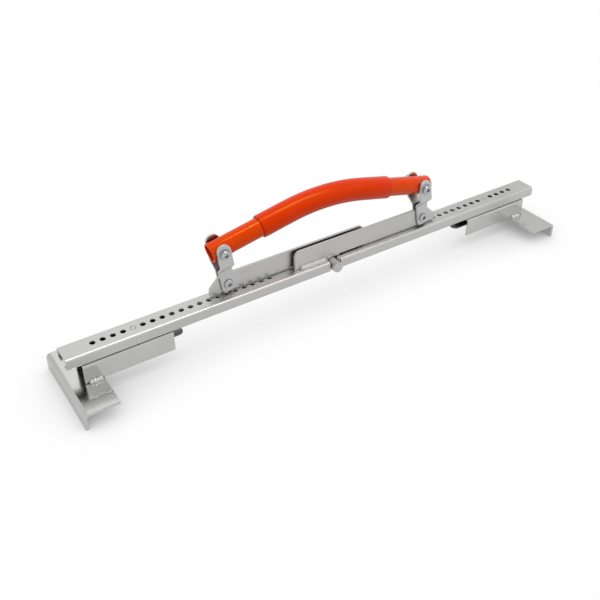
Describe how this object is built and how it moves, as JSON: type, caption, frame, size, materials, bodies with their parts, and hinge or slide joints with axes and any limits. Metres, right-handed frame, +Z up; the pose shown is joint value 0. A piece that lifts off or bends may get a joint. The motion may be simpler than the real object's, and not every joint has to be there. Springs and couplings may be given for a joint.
{
  "type": "slab lifter",
  "caption": "Self-clamping slab lifter with an arched tube handle, scissor lever bars, perforated channel rails and sliding angle jaws locked by spring plungers.",
  "frame": {"origin": "on the floor, midway between the two jaws", "axes": "+X along the rails, +Y away from the bolt heads, +Z up"},
  "size_m": [0.596, 0.102, 0.1378],
  "materials": {
    "zinc_plate": "bright zinc plate",
    "bright_hardware": "zinc-plated hardware",
    "weld_metal": "plated weld bead",
    "black_coat": "satin black coating",
    "orange_paint": "glossy orange paint",
    "orange_grip": "smooth glossy sleeve"
  },
  "bodies": {
    "handle": {"handle_tube": "orange_paint", "handle_grip": "orange_grip"},
    "left_link": {"left_link_front": "zinc_plate", "left_link_rear": "zinc_plate", "left_handle_bolt": "bright_hardware", "left_handle_nut": "bright_hardware", "left_washer_front": "bright_hardware", "left_washer_rear": "bright_hardware", "left_lever_bolt": "bright_hardware", "left_lever_nut": "bright_hardware"},
    "right_link": {"right_link_front": "zinc_plate", "right_link_rear": "zinc_plate", "right_handle_bolt": "bright_hardware", "right_handle_nut": "bright_hardware", "right_washer_front": "bright_hardware", "right_washer_rear": "bright_hardware", "right_lever_bolt": "bright_hardware", "right_lever_nut": "bright_hardware"},
    "left_arm": {"left_rail": "zinc_plate", "front_lever_bar": "zinc_plate", "front_lever_weld": "weld_metal"},
    "right_arm": {"right_rail": "zinc_plate", "rear_lever_bar": "zinc_plate", "rear_lever_weld": "weld_metal", "pivot_pin": "bright_hardware", "pivot_spacer": "bright_hardware", "pivot_pin_weld": "weld_metal"},
    "left_jaw": {"left_slider": "zinc_plate", "left_jaw": "zinc_plate", "left_jaw_weld_front": "weld_metal", "left_jaw_weld_rear": "weld_metal", "left_runner": "zinc_plate", "left_rivet_outer": "bright_hardware", "left_rivet_inner": "bright_hardware", "left_plunger_housing": "bright_hardware", "left_plunger_spring": "bright_hardware"},
    "left_plunger": {"left_locating_pin": "bright_hardware", "left_release_tongue": "black_coat", "left_tongue_clip": "bright_hardware"},
    "right_jaw": {"right_slider": "zinc_plate", "right_jaw": "zinc_plate", "right_jaw_weld_front": "weld_metal", "right_jaw_weld_rear": "weld_metal", "right_runner": "zinc_plate", "right_rivet_outer": "bright_hardware", "right_rivet_inner": "bright_hardware", "right_plunger_housing": "bright_hardware", "right_plunger_spring": "bright_hardware"},
    "right_plunger": {"right_locating_pin": "bright_hardware", "right_release_tongue": "black_coat", "right_tongue_clip": "bright_hardware"}
  },
  "joints": [
    {"name": "front_lever_pivot", "type": "hinge", "parent": "right_link", "child": "left_arm", "pos_m": [0.1224, 0, 0.0626], "axis": [0, -1, 0], "range_deg": [0, 17.82]},
    {"name": "left_link_swing", "type": "hinge", "parent": "handle", "child": "left_link", "pos_m": [-0.12846, 0, 0.10365], "axis": [0, 1, 0], "range_deg": [0, 4.98]},
    {"name": "right_link_swing", "type": "hinge", "parent": "handle", "child": "right_link", "pos_m": [0.11634, 0, 0.10365], "axis": [0, 1, 0], "range_deg": [0, 11.82]},
    {"name": "rear_lever_pivot", "type": "hinge", "parent": "left_link", "child": "right_arm", "pos_m": [-0.1224, 0, 0.0626], "axis": [0, 1, 0], "range_deg": [0, 1.02]},
    {"name": "left_jaw_slide", "type": "slide", "parent": "left_arm", "child": "left_jaw", "axis": [1, 0, 0], "range_m": [-0.04, 0.14]},
    {"name": "left_plunger_pull", "type": "slide", "parent": "left_jaw", "child": "left_plunger", "axis": [0, 0, -1], "range_m": [0, 0.0028], "stiffness_N_per_m": 1000, "springref_m": -0.004, "deforming": ["left_plunger_spring"]},
    {"name": "right_jaw_slide", "type": "slide", "parent": "right_arm", "child": "right_jaw", "axis": [-1, 0, 0], "range_m": [-0.04, 0.14]},
    {"name": "right_plunger_pull", "type": "slide", "parent": "right_jaw", "child": "right_plunger", "axis": [0, 0, -1], "range_m": [0, 0.0028], "stiffness_N_per_m": 1000, "springref_m": -0.004, "deforming": ["right_plunger_spring"]}
  ],
  "couplings": [
    {"joint": "left_link_swing", "follows": "front_lever_pivot", "ratio": 0.27914},
    {"joint": "right_link_swing", "follows": "front_lever_pivot", "ratio": 0.66338},
    {"joint": "rear_lever_pivot", "follows": "front_lever_pivot", "ratio": 0.057472}
  ]
}
